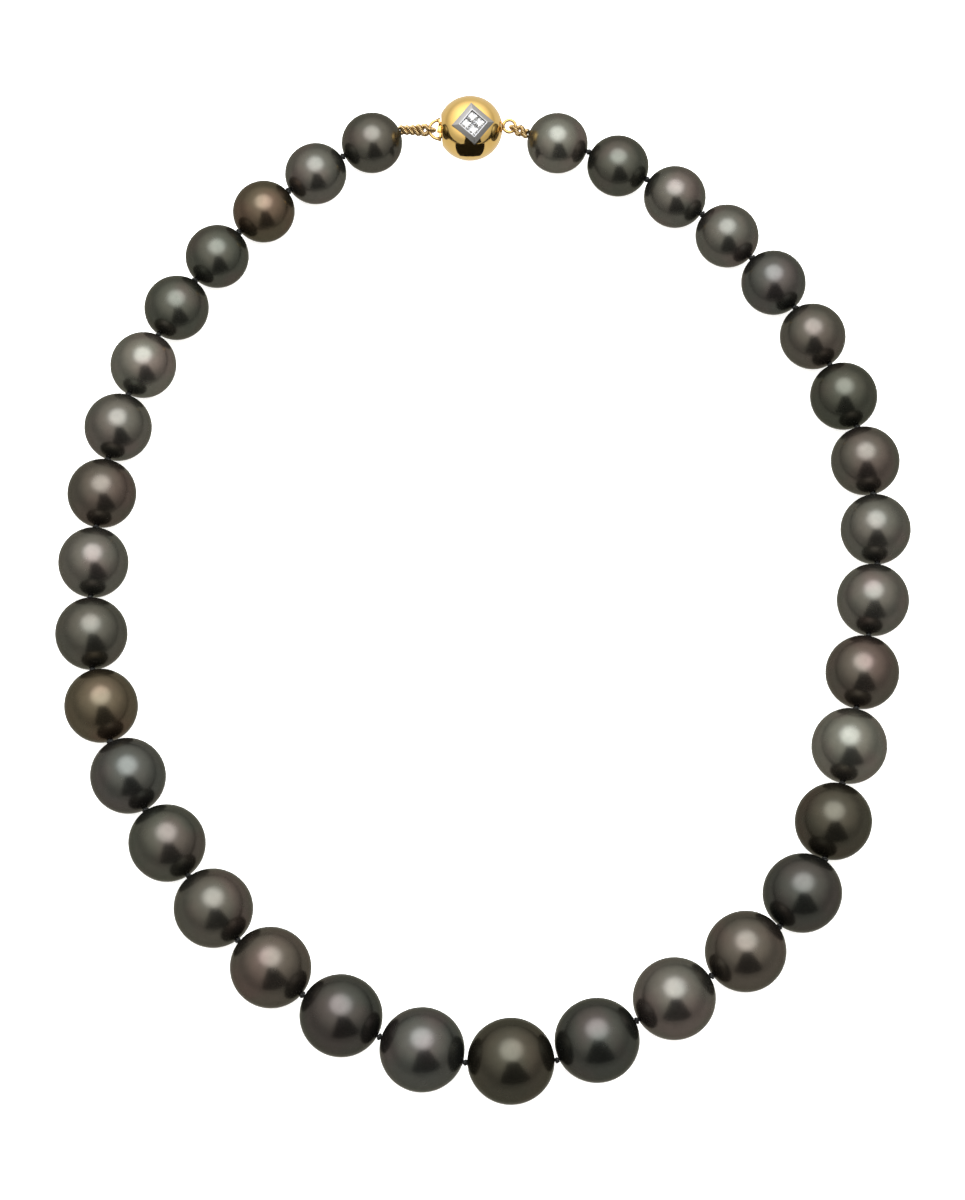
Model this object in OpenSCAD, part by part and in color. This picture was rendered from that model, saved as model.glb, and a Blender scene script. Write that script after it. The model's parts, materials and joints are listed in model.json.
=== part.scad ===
// Graduated strand of round pearls, knotted on silk, closed by a gold ball clasp with a square setting.
// The strand lies open on its resting plane, z = 0, with the largest pearl nearest and the clasp far.

/* [Pearls] */
// Diameter of the centre pearl, the largest
centre_d = 14; // [12:0.1:16]
// Diameter of the two end pearls, next to the clasp
end_d = 10.2; // [8:0.1:12]
// Pearls on each side of the centre one
side_pearls = 17; // [10:1:20]
// How the sizes fall away from the centre: 1 is evenly, more is faster at first
graduation = 1.3; // [1:0.05:1.5]
// Diameter of the hole drilled through each pearl
bore_d = 0.9; // [0.75:0.05:1.1]

/* [Silk] */
// Thickness of the silk thread
thread_d = 0.55; // [0.3:0.05:0.6]
// Width of a knot across the thread
knot_d = 1.3; // [1.1:0.05:1.4]
// Length of a knot along the thread
knot_l = 0.62; // [0.4:0.02:0.64]
// Space between two pearls, which the knot fills
knot_gap = 0.7; // [0.7:0.05:1.2]

/* [Lie of the strand] */
// Direction of the centre pearl's hole, from the X axis
centre_heading = 2; // [-10:1:10]
// How far the left side has turned at a pearl: pearls out from the centre, then degrees
left_bend = [[0, 0], [1, 20], [4, 55], [6, 65], [8, 90], [10, 100], [17, 155]]; // [0:5:170]
// How far the right side has turned at a pearl: pearls out from the centre, then degrees
right_bend = [[0, 0], [1, 25], [3, 35], [5, 75], [8, 80], [10, 100], [17, 160]]; // [0:5:170]

/* [Ball clasp] */
// Diameter of the clasp's ball
ball_d = 10.9; // [9.5:0.1:11.5]
// Thickness of the ball's gold wall
ball_wall = 0.45; // [0.35:0.05:0.6]
// How far the ball's flat mouth lies from its centre
mouth_x = 4.75; // [4.6:0.05:4.9]
// Where the ball lies, right of and beyond the middle of the two end pearls
clasp_offset = [0.9, 2.55]; // [0:0.05:3]
// Direction of the clasp's own axis, from the X axis
clasp_heading = 3; // [-8:1:8]
// How far the ball is rolled towards the wearer, about its own axis
clasp_roll = 15; // [0:1:30]

/* [Rings and gimp] */
// Thickness of the wire of the ring and the bail
ring_wire = 0.55; // [0.4:0.05:0.6]
// Radius of the ball's ring, to the middle of its wire
ring_r = 1.02; // [0.95:0.01:1.3]
// Radius of the tongue's half-round bail, to the middle of its wire
bail_r = 1.55; // [1.4:0.05:1.7]
// Outside diameter of the gimp, the coil of fine gold wire that guards the silk
gimp_d = 0.65; // [0.5:0.05:0.65]
// Radius of the bend where the gimp goes round a ring
gimp_bend_r = 0.7; // [0.68:0.01:0.75]

/* [Tongue] */
// Width of the spring tongue
tongue_w = 2.8; // [2.4:0.1:2.8]
// Thickness of the tongue's lower leaf
leaf_t = 0.35; // [0.25:0.05:0.4]
// Thickness of the tongue's springy upper leaf
spring_t = 0.25; // [0.2:0.05:0.3]
// Width of the trigger, which passes out through the mouth
trigger_w = 1.2; // [0.8:0.1:1.4]

/* [Setting] */
// Side of the square setting, at its foot
setting_side = 5.0; // [4.6:0.1:5.2]
// Side of the square opening that holds the stones
stone_field = 3.1; // [3.08:0.02:3.2]
// Side of one square stone
stone_side = 1.48; // [1.4:0.02:1.5]
// Turn of the setting about its own axis, from point-up
setting_turn = 2; // [-20:1:20]
// Lean of the setting along the clasp's axis, towards the ring
setting_lean = 5; // [0:1:8]

/* [Hidden] */
PEARLS = 2 * side_pearls + 1;
CENTRE = side_pearls + 1;
function pearl_name(i) = str("pearl_", i < 10 ? "0" : "", i);
$fn = 72;

// Colours of the finishes
silk_black = [0.06, 0.06, 0.07];
yellow_gold = [0.85, 0.63, 0.28];
white_gold = [0.80, 0.80, 0.82];
stone_clear = [0.92, 0.95, 1.00];
pearl_greys = [[0.30, 0.31, 0.33], [0.36, 0.40, 0.36], [0.33, 0.28, 0.31], [0.28, 0.32, 0.38]];

// ---- Route of the strand. Side -1 is left, +1 is right, and k counts pearls from the centre ----
function heading(side, k) = centre_heading + side * lookup(k, side > 0 ? right_bend : left_bend);
function unit(a) = [cos(a), sin(a)];
function diameter(k) = end_d + (centre_d - end_d) * pow(1 - k / side_pearls, graduation);
function radius(k) = round(10 * diameter(k)) / 20;
function half_link(side, k) = side * (radius(k) + knot_gap / 2) * unit(heading(side, k));
function lay(side, k) = k == 0 ? [0, 0] : lay(side, k - 1) + half_link(side, k - 1) + half_link(side, k);

laid_left = [for (k = [0 : CENTRE - 1]) lay(-1, k)];
laid_right = [for (k = [0 : CENTRE - 1]) lay(1, k)];
ends_middle = (laid_left[CENTRE - 1] + laid_right[CENTRE - 1]) / 2;
ball_laid = ends_middle + clasp_offset;

// Origin: the middle of the strand's own outline, on its resting plane
ball_r = ball_d / 2;
rounds = concat(
    [for (k = [0 : CENTRE - 1]) each [[laid_left[k], radius(k)], [laid_right[k], radius(k)]]],
    [[ball_laid, ball_r]]);
low = [for (a = [0, 1]) min([for (c = rounds) c[0][a] - c[1]])];
high = [for (a = [0, 1]) max([for (c = rounds) c[0][a] + c[1]])];
shift = -(low + high) / 2;

function side_of(i) = i < CENTRE ? -1 : 1;
function step_of(i) = abs(i - CENTRE);
function pearl_radius(i) = radius(step_of(i));
function pearl_heading(i) = heading(side_of(i), step_of(i));
function pearl_xy(i) = (i < CENTRE ? laid_left : laid_right)[step_of(i)] + shift;
function pearl_centre(i) = concat(pearl_xy(i), pearl_radius(i));

// Knot i lies between pearls i and i + 1
function knot_centre(i) = concat(
    pearl_xy(i) + (pearl_radius(i) + knot_gap / 2) * unit(pearl_heading(i)),
    (pearl_radius(i) + pearl_radius(i + 1)) / 2);
function knot_heading(i) = (pearl_heading(i) + pearl_heading(i + 1)) / 2;

// ---- Clasp frame: x along the clasp's axis towards the ring, z out of the stones ----
clasp_centre = concat(ball_laid + shift, ball_r);
function from_clasp(p) =
    let (roll = clasp_roll, turn = clasp_heading,
         y = cos(roll) * p.y - sin(roll) * p.z, z = sin(roll) * p.y + cos(roll) * p.z)
    clasp_centre + [cos(turn) * p.x - sin(turn) * y, sin(turn) * p.x + cos(turn) * y, z];
function to_clasp(p) =
    let (roll = clasp_roll, turn = clasp_heading, v = p - clasp_centre,
         x = cos(turn) * v.x + sin(turn) * v.y, y = cos(turn) * v.y - sin(turn) * v.x)
    [x, cos(roll) * y + sin(roll) * v.z, cos(roll) * v.z - sin(roll) * y];
module in_clasp_frame() {
    translate(clasp_centre) rotate([clasp_roll, 0, clasp_heading]) children();
}

// Plates of the clasp, along its axis
face_t = 0.5;
face_r = 2.2;
flange_gap = 0.15;
flange_t = 0.35;
flange_w = 4.0;
flange_h = 2.6;
flange_x = -mouth_x - flange_gap - flange_t;
bail_x = flange_x + 0.02;
ring_x = ball_r + ring_r + 0.13;
guide_end = 3.2;
guide_w = 3.2;
guide_h = 2.0;
guide_wall = 0.25;
slot_w = 3.0;
slot_low = -0.85;
slot_high = 0.95;

// Gimp: from the mouth of an end pearl to the wire that it goes round
mouth_clear = 0.25;
function end_mouth(i) = concat(
    pearl_xy(i) + (i == 1 ? -1 : 1) * pearl_radius(i) * unit(pearl_heading(i)), pearl_radius(i));
right_mouth = to_clasp(end_mouth(PEARLS));
left_mouth = to_clasp(end_mouth(1));
right_aim = atan2(right_mouth.y, right_mouth.x - ring_x);
right_eye = [ring_x + ring_r * cos(right_aim), ring_r * sin(right_aim), 0];
left_eye = [bail_x - bail_r, 0, 0];

// Tongue: two leaves folded at their tip, which lies deepest in the ball
leaf_low = -0.75;
fold_x = 2.6;
fold_r = 0.38;
spring_x = fold_x - 0.06;
spring_z = leaf_low + 2 * fold_r - spring_t / 2;
spring_pitch = 4;
spring_l = 6.4;
catch_top = 0.84;
trigger_z = 0.45;
trigger_end = flange_x - 0.33;

// Setting: heights are from the ball's centre
setting_foot = 3.9;
setting_edge = 5.0;
setting_top = 5.45;
setting_rim = 3.5;
seat_low = 4.2;
seat_t = 0.3;
girdle_h = 5.2;
girdle_t = 0.08;
table_h = 5.4;
culet_h = 4.3;

// ---- Pearls and silk ----
module along_heading(centre, angle) {
    translate(centre) rotate([0, 90, angle]) children();
}
module pearl(i) {
    color(pearl_greys[i % len(pearl_greys)])
    along_heading(pearl_centre(i), pearl_heading(i)) difference() {
        sphere(r = pearl_radius(i));
        cylinder(d = bore_d, h = centre_d + 2, center = true);
    }
}
module knot() {
    rotate_extrude()
        polygon([[0, -knot_l / 2], [knot_d / 4, -knot_l / 2], [knot_d / 2, -knot_l / 8],
                 [knot_d / 2, knot_l / 8], [knot_d / 4, knot_l / 2], [0, knot_l / 2]]);
}
// One length of thread through a pearl, from knot to knot, or to the mouth of an end pearl
module thread(i) {
    back = i == 1 ? pearl_radius(i) : pearl_radius(i) + knot_gap / 2;
    front = i == PEARLS ? pearl_radius(i) : pearl_radius(i) + knot_gap / 2;
    along_heading(pearl_centre(i), pearl_heading(i))
        translate([0, 0, -back]) cylinder(d = thread_d, h = back + front);
}
module silk_thread() {
    color(silk_black)
    union() {
        for (i = [1 : PEARLS]) thread(i);
        for (i = [1 : PEARLS - 1]) along_heading(knot_centre(i), knot_heading(i)) knot();
    }
}

// ---- Gimp: a bend round the wire and two legs that run side by side to the pearl's mouth ----
module gimp(eye, mouth) {
    reach = mouth - eye;
    flat = norm([reach.x, reach.y]);
    leg = norm(reach) - mouth_clear - gimp_d / 2;
    color(yellow_gold)
    in_clasp_frame()
        translate(eye)
            rotate([0, -atan2(reach.z, flat), atan2(reach.y, reach.x)]) {
                rotate([90, 0, 0]) rotate([0, 0, 90])
                    rotate_extrude(angle = 180) translate([gimp_bend_r, 0]) circle(d = gimp_d);
                for (s = [-1, 1])
                    translate([0, 0, s * gimp_bend_r]) rotate([0, 90, 0]) {
                        cylinder(d = gimp_d, h = leg);
                        translate([0, 0, leg]) sphere(d = gimp_d);
                    }
            }
}
module gimp_left() gimp(left_eye, left_mouth);
module gimp_right() gimp(right_eye, right_mouth);

// ---- Ball ----
module ball_half(s) {
    intersection() {
        difference() {
            sphere(r = ball_r);
            sphere(r = ball_r - ball_wall);
            translate([-mouth_x - ball_r, 0, 0]) cube(2 * ball_r, center = true);
            translate([-ball_r, 0, 0]) rotate([0, 90, 0]) cylinder(r = face_r, h = ball_r / 2);
        }
        translate([0, 0, s * ball_r]) cube(2 * ball_r, center = true);
    }
}
module ball_upper() {
    color(yellow_gold)
    in_clasp_frame() difference() {
        ball_half(1);
        in_setting_frame() setting_blank();
    }
}
module ball_lower() {
    color(yellow_gold) in_clasp_frame() ball_half(-1);
}
module ball_face() {
    color(yellow_gold)
    in_clasp_frame() difference() {
        translate([-mouth_x, 0, 0]) rotate([0, 90, 0]) cylinder(r = face_r, h = face_t);
        translate([-mouth_x - face_t, -slot_w / 2, slot_low])
            cube([3 * face_t, slot_w, slot_high - slot_low]);
    }
}
module tongue_guide() {
    start = -mouth_x + face_t;
    color(yellow_gold)
    in_clasp_frame() difference() {
        translate([start, -guide_w / 2 - guide_wall, -guide_h / 2 - guide_wall])
            cube([guide_end - start, guide_w + 2 * guide_wall, guide_h + 2 * guide_wall]);
        translate([start - 1, -guide_w / 2, -guide_h / 2]) cube([guide_end - start + 2, guide_w, guide_h]);
    }
}
module ball_ring() {
    color(yellow_gold)
    in_clasp_frame() difference() {
        translate([ring_x, 0, 0]) rotate_extrude() translate([ring_r, 0]) circle(d = ring_wire, $fn = 32);
        sphere(r = ball_r);
    }
}

// ---- Setting and stones ----
module in_setting_frame() {
    rotate([0, setting_lean, 0]) rotate([0, 0, setting_turn]) children();
}
// A square block whose corners point along x and y
module square_taper(side_low, side_high, z_low, z_high) {
    translate([0, 0, z_low])
        cylinder(d1 = side_low * sqrt(2), d2 = side_high * sqrt(2), h = z_high - z_low, $fn = 4);
}
module setting_blank() {
    square_taper(setting_side, setting_side, setting_foot, setting_edge);
    square_taper(setting_side, setting_rim, setting_edge, setting_top);
}
module setting_bezel() {
    color(white_gold)
    in_clasp_frame() in_setting_frame() difference() {
        setting_blank();
        square_taper(stone_field, stone_field, setting_foot - 1, setting_top + 1);
    }
}
module setting_seat() {
    color(white_gold)
    in_clasp_frame() in_setting_frame() difference() {
        square_taper(stone_field, stone_field, seat_low, seat_low + seat_t);
        for (q = [0 : 3]) stone_place(q) translate([0, 0, seat_low - 1]) cylinder(d = 0.8, h = seat_t + 2);
    }
}
module stone_place(q) {
    rotate([0, 0, 90 * q]) translate([stone_field / 4 * sqrt(2), 0, 0]) children();
}
// Princess cut: a table, a thin girdle and a pavilion that runs down to a point
module diamond(q) {
    color(stone_clear)
    in_clasp_frame() in_setting_frame() stone_place(q - 1) union() {
        square_taper(0.02, stone_side, culet_h, girdle_h);
        square_taper(stone_side, stone_side, girdle_h, girdle_h + girdle_t);
        square_taper(stone_side, 0.7 * stone_side, girdle_h + girdle_t, table_h);
    }
}

// ---- Tongue ----
module tongue_leaf() {
    start = flange_x + flange_t;
    color(yellow_gold)
    in_clasp_frame() union() {
        translate([start, -tongue_w / 2, leaf_low]) cube([fold_x - start, tongue_w, leaf_t]);
        translate([fold_x, 0, leaf_low + fold_r]) difference() {
            rotate([90, 0, 0]) cylinder(r = fold_r, h = tongue_w, center = true);
            rotate([90, 0, 0]) cylinder(r = fold_r - spring_t, h = 2 * tongue_w, center = true);
            translate([-tongue_w, 0, 0]) cube(2 * tongue_w, center = true);
        }
    }
}
module tongue_flange() {
    color(yellow_gold)
    in_clasp_frame() difference() {
        intersection() {
            translate([flange_x, -flange_w / 2, -flange_h / 2]) cube([flange_t, flange_w, flange_h]);
            translate([flange_x - 1, 0, 0]) rotate([0, 90, 0]) cylinder(r = flange_w / 2, h = 3);
        }
        translate([flange_x - 1, -trigger_w / 2 - 0.15, leaf_low + leaf_t]) cube([3, trigger_w + 0.3, 3]);
    }
}
module tongue_bail() {
    color(yellow_gold)
    in_clasp_frame() difference() {
        translate([bail_x, 0, 0])
            rotate([0, 0, 90]) rotate_extrude(angle = 180)
                translate([bail_r, 0]) circle(d = ring_wire, $fn = 32);
        translate([flange_x, -flange_w, -flange_w]) cube(2 * flange_w);
    }
}
// Upper leaf: it rises from the fold to the catch, and runs on as the trigger
module spring_leaf() {
    catch_x = -mouth_x + face_t + 0.1;
    color(yellow_gold)
    in_clasp_frame() union() {
        translate([spring_x, 0, spring_z]) rotate([0, spring_pitch, 0])
            translate([-spring_l, -tongue_w / 2 + 0.3, -spring_t / 2])
                cube([spring_l, tongue_w - 0.6, spring_t]);
        translate([catch_x, -tongue_w / 2 + 0.3, trigger_z - spring_t])
            cube([0.4, tongue_w - 0.6, catch_top - trigger_z + spring_t]);
        translate([trigger_end, -trigger_w / 2, trigger_z - spring_t / 2])
            cube([catch_x + 0.4 - trigger_end, trigger_w, spring_t]);
        translate([trigger_end, -trigger_w / 2, trigger_z - spring_t / 2])
            cube([spring_t, trigger_w, 0.55]);
    }
}

for (i = [1 : PEARLS]) pearl(i);
silk_thread();
gimp_left();
gimp_right();
ball_upper();
ball_lower();
ball_face();
ball_ring();
tongue_guide();
setting_bezel();
setting_seat();
for (q = [1 : 4]) diamond(q);
tongue_leaf();
tongue_flange();
tongue_bail();
spring_leaf();
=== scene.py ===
import json
import math

import bmesh
import bpy
from mathutils import Matrix, Vector, noise


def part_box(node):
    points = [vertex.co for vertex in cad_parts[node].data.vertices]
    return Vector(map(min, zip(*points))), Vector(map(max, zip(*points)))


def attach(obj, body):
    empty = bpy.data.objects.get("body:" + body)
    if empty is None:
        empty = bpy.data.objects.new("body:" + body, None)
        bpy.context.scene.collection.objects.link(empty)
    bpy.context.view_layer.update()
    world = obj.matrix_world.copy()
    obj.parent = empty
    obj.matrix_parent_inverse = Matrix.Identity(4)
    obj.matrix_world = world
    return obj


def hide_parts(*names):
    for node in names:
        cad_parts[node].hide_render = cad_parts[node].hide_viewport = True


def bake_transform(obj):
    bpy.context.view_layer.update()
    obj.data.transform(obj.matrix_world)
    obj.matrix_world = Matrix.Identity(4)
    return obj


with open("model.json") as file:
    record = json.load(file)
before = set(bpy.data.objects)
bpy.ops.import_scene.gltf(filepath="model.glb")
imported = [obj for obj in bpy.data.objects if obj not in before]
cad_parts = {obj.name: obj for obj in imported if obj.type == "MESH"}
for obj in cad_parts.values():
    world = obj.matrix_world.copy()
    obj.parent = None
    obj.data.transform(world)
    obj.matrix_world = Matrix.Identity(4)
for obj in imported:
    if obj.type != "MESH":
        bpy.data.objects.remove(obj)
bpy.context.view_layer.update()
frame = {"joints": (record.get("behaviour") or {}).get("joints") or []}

# ---- Camera ---------------------------------------------------------------------------------
# A long lens looks down on the strand as it lies flat, from the side of the largest pearl. It
# stands far off, so that near and far pearls keep their own sizes.
MM = 0.001
LENS_MM = 220.4
CAMERA_HEIGHT_DEG = 70.0
CAMERA_DISTANCE = 1.2
AIM = Vector((-0.25, -2.0, 6.0)) * MM

camera_data = bpy.data.cameras.new("camera")
camera_data.lens = LENS_MM
camera_data.sensor_width = 36.0
camera_data.clip_end = 20.0
camera = bpy.data.objects.new("camera", camera_data)
bpy.context.scene.collection.objects.link(camera)
height = math.radians(CAMERA_HEIGHT_DEG)
towards_camera = Vector((0.0, -math.cos(height), math.sin(height)))
camera.location = AIM + CAMERA_DISTANCE * towards_camera
camera.rotation_mode = "QUATERNION"
camera.rotation_quaternion = (-towards_camera).to_track_quat("-Z", "Y")
bpy.context.scene.camera = camera

# ---- Studio ---------------------------------------------------------------------------------
# A white light tent over a white table. A wide lamp shines through the roof a little behind the
# zenith, and the tent's front stands open on a dark room behind the camera.
ROOF_LAMP_LEAN_DEG = 15.0
FRONT_DISTANCE = 0.48
FRONT_LEFT = -0.19
FRONT_RIGHT = 0.41
FRONT_LOW = 0.06
FRONT_HIGH = 1.30


def new_node(tree, kind, **settings):
    node = tree.nodes.new(kind)
    for key, value in settings.items():
        setattr(node, key, value)
    return node


def feed(tree, socket, value):
    """Links an output socket to an input, or sets the input to a constant."""
    if isinstance(value, bpy.types.NodeSocket):
        tree.links.new(value, socket)
    else:
        socket.default_value = value


def maths(tree, operation, first, second=0.0):
    node = new_node(tree, "ShaderNodeMath", operation=operation)
    feed(tree, node.inputs[0], first)
    feed(tree, node.inputs[1], second)
    return node.outputs[0]


def ramp(tree, value, low, high, at_low=0.0, at_high=1.0, smooth=True):
    """at_low below low, at_high above high, and a smooth change between."""
    kind = "SMOOTHSTEP" if smooth else "LINEAR"
    node = new_node(tree, "ShaderNodeMapRange", interpolation_type=kind)
    feed(tree, node.inputs["Value"], value)
    node.inputs["From Min"].default_value = low
    node.inputs["From Max"].default_value = high
    node.inputs["To Min"].default_value = at_low
    node.inputs["To Max"].default_value = at_high
    return node.outputs[0]


def mix_colour(tree, factor, first, second, blend="MIX"):
    node = new_node(tree, "ShaderNodeMix", data_type="RGBA", blend_type=blend)
    for slot, value in ((0, factor), (6, first), (7, second)):
        feed(tree, node.inputs[slot], value)
    return node.outputs[2]


def build_tent():
    world = bpy.data.worlds.new("tent")
    world.use_nodes = True
    bpy.context.scene.world = world
    tree = world.node_tree
    tree.nodes.clear()
    way = new_node(tree, "ShaderNodeTexCoord").outputs["Generated"]
    parts = new_node(tree, "ShaderNodeSeparateXYZ")
    feed(tree, parts.inputs[0], way)
    lean = math.radians(ROOF_LAMP_LEAN_DEG)
    towards_lamp = new_node(tree, "ShaderNodeVectorMath", operation="DOT_PRODUCT")
    towards_lamp.inputs[1].default_value = (0.0, math.sin(lean), math.cos(lean))
    feed(tree, towards_lamp.inputs[0], way)
    near_lamp = towards_lamp.outputs["Value"]

    walls = 0.64
    roof = ramp(tree, near_lamp, 0.0, 0.90, 0.0, 1.4)
    lamp = ramp(tree, near_lamp, 0.80, 0.975, 0.0, 5.8)
    table = ramp(tree, parts.outputs[2], -0.25, 0.0, 0.22, 0.0)
    light = maths(tree, "ADD", maths(tree, "ADD", roof, lamp), maths(tree, "ADD", table, walls))

    seen = new_node(tree, "ShaderNodeLightPath")
    strength = new_node(tree, "ShaderNodeMix", data_type="FLOAT")
    feed(tree, strength.inputs[0], seen.outputs["Is Camera Ray"])
    feed(tree, strength.inputs[2], light)
    strength.inputs[3].default_value = 1.0
    background = new_node(tree, "ShaderNodeBackground")
    wall_white = (1.0, 0.97, 0.88, 1.0)
    lamp_white = (0.96, 0.98, 1.0, 1.0)
    backdrop_white = (1.0, 1.0, 1.0, 1.0)
    tint = mix_colour(tree, ramp(tree, near_lamp, 0.70, 0.95), wall_white, lamp_white)
    tint = mix_colour(tree, seen.outputs["Is Camera Ray"], tint, backdrop_white)
    feed(tree, background.inputs["Color"], tint)
    feed(tree, background.inputs["Strength"], strength.outputs[0])
    out = new_node(tree, "ShaderNodeOutputWorld")
    feed(tree, out.inputs[0], background.outputs[0])


def stage_card(name, corners, colour, glow=0.0):
    """A flat card of the studio, from its corners in order."""
    mesh = bpy.data.meshes.new(name)
    mesh.from_pydata(corners, [], [range(len(corners))])
    card = bpy.data.objects.new(name, mesh)
    bpy.context.scene.collection.objects.link(card)
    paper = bpy.data.materials.new(name)
    paper.use_nodes = True
    shader = paper.node_tree.nodes["Principled BSDF"]
    shader.inputs["Base Color"].default_value = colour
    shader.inputs["Roughness"].default_value = 0.9
    shader.inputs["Specular IOR Level"].default_value = 0.0
    shader.inputs["Emission Color"].default_value = (1, 1, 1, 1)
    shader.inputs["Emission Strength"].default_value = glow
    mesh.materials.append(paper)
    return card


def only_in_reflections(card):
    card.visible_camera = False
    card.visible_diffuse = False
    card.visible_shadow = False
    card.visible_transmission = False


build_tent()
table = stage_card("table", [(-2, -2, 0), (2, -2, 0), (2, 2, 0), (-2, 2, 0)], (0.93, 0.93, 0.93, 1), 0.6)
table.visible_glossy = False
front = stage_card("open_front", [(FRONT_LEFT, -FRONT_DISTANCE, FRONT_LOW),
                                  (FRONT_RIGHT, -FRONT_DISTANCE, FRONT_LOW),
                                  (FRONT_RIGHT, -FRONT_DISTANCE, FRONT_HIGH),
                                  (FRONT_LEFT, -FRONT_DISTANCE, FRONT_HIGH)], (0.01, 0.01, 0.01, 1))
only_in_reflections(front)
bpy.context.scene.view_settings.view_transform = "Standard"
bpy.context.scene.view_settings.look = "None"

# ---- Pearls ---------------------------------------------------------------------------------
# Thirty-five round dark cultured pearls, matched in a graduated run and drilled straight
# through. The nacre is near round, with a soft metallic lustre, faint rings round the drill
# hole, a few pits, and an overtone that drifts over each pearl.
PEARLS = 35
CENTRE = 18
BORE_R = 0.45 * MM
LIP_R = 0.10 * MM

joint_at = {j["child"]: Vector(j["pos_m"]) for j in frame["joints"] if "pos_m" in j}


def body_of_pearl(i):
    return "strand_centre" if i == CENTRE else f"bead_{i:02d}"


def knot_pivot(i):
    """The middle of the knot between pearls i and i + 1."""
    return joint_at[body_of_pearl(i if i < CENTRE else i + 1)]


def pearl_round(i):
    """The centre and the radius of a pearl."""
    low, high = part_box(f"pearl_{i:02d}")
    return (low + high) / 2, (high.z - low.z) / 2


def pearl_heading(i):
    """The direction of the drill hole, from the lower-numbered side."""
    centre = pearl_round(i)[0]
    start = centre if i == 1 else knot_pivot(i - 1)
    end = centre if i == PEARLS else knot_pivot(i)
    flat = end - start
    return Vector((flat.x, flat.y, 0.0)).normalized()


def place(centre, x_way, y_way, z_way):
    """A matrix that carries the axes to three square directions, and the origin to centre."""
    return Matrix.Translation(centre) @ Matrix((x_way, y_way, z_way)).transposed().to_4x4()


def finish_piece(name, shape, body, material, sharp_above=None):
    """Makes the object of a shape that already lies in place, and rides it on a body."""
    mesh = bpy.data.meshes.new(name)
    shape.to_mesh(mesh)
    shape.free()
    mesh.shade_smooth()
    if sharp_above is not None:
        mesh.set_sharp_from_angle(angle=math.radians(sharp_above))
    piece = bpy.data.objects.new(name, mesh)
    bpy.context.scene.collection.objects.link(piece)
    mesh.materials.append(material)
    if body is not None:
        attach(piece, body)
    return piece


def spun(profile, steps):
    """A closed solid turned about Z from an outline of (radius, height) points."""
    shape = bmesh.new()
    verts = [shape.verts.new((r, 0.0, h)) for r, h in profile]
    edges = [shape.edges.new(pair) for pair in zip(verts, verts[1:])]
    if profile[0][0] > 0 and profile[-1][0] > 0:
        edges.append(shape.edges.new((verts[-1], verts[0])))
    bmesh.ops.spin(shape, geom=verts + edges, cent=(0, 0, 0), axis=(0, 0, 1),
                   angle=2 * math.pi, steps=steps, use_merge=True)
    bmesh.ops.remove_doubles(shape, verts=shape.verts, dist=1e-8)
    bmesh.ops.recalc_face_normals(shape, faces=shape.faces)
    return shape


def arc(centre, radius, start, end, steps):
    """Points on an arc, in degrees from the radius axis towards the height axis."""
    turns = [math.radians(start + (end - start) * k / steps) for k in range(steps + 1)]
    return [(centre[0] + radius * math.cos(t), centre[1] + radius * math.sin(t)) for t in turns]


def pearl_shape(radius, seed):
    """A drilled pearl about Z: a spun outline, then the slight unevenness of grown nacre."""
    mouth = math.degrees(math.acos((BORE_R + LIP_R) / radius))
    edge = math.sqrt(radius ** 2 - (BORE_R + LIP_R) ** 2) - 0.6 * LIP_R
    outline = arc((0, 0), radius, -mouth, mouth, 72)
    outline += arc((BORE_R + LIP_R, edge), LIP_R, 120, 180, 3)
    outline += [(BORE_R, edge * share) for share in (0.6, 0.2, -0.2, -0.6)]
    outline += arc((BORE_R + LIP_R, -edge), LIP_R, 180, 240, 3)
    shape = spun(outline, 112)
    nacre = shape.verts.layers.float_vector.new("nacre")
    drift = Vector((3.7, 1.3, 2.1)) * seed
    for vert in shape.verts:
        way = vert.co.normalized()
        vert[nacre] = way
        swell = 0.004 * noise.noise(way * 1.1 + drift) + 0.0012 * noise.noise(way * 3.1 + drift)
        vert.co *= 0.997 + swell
    return shape


def new_group(name, inputs, outputs):
    tree = bpy.data.node_groups.new(name, "ShaderNodeTree")
    for label, value in inputs.items():
        kind = "NodeSocketFloat" if isinstance(value, float) else "NodeSocketColor"
        socket = tree.interface.new_socket(label, in_out="INPUT", socket_type=kind)
        socket.default_value = value
    for label, kind in outputs.items():
        tree.interface.new_socket(label, in_out="OUTPUT", socket_type=kind)
    return tree, tree.nodes.new("NodeGroupInput"), tree.nodes.new("NodeGroupOutput")


def cloud(tree, spot, scale, detail=0.0, shift=0.0):
    """Soft noise from 0 to 1 about a middle of 0.5."""
    node = new_node(tree, "ShaderNodeTexNoise", noise_dimensions="4D")
    node.inputs["Scale"].default_value = scale
    node.inputs["Detail"].default_value = detail
    feed(tree, node.inputs["Vector"], spot)
    feed(tree, node.inputs["W"], shift)
    return node.outputs["Fac"]


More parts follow.
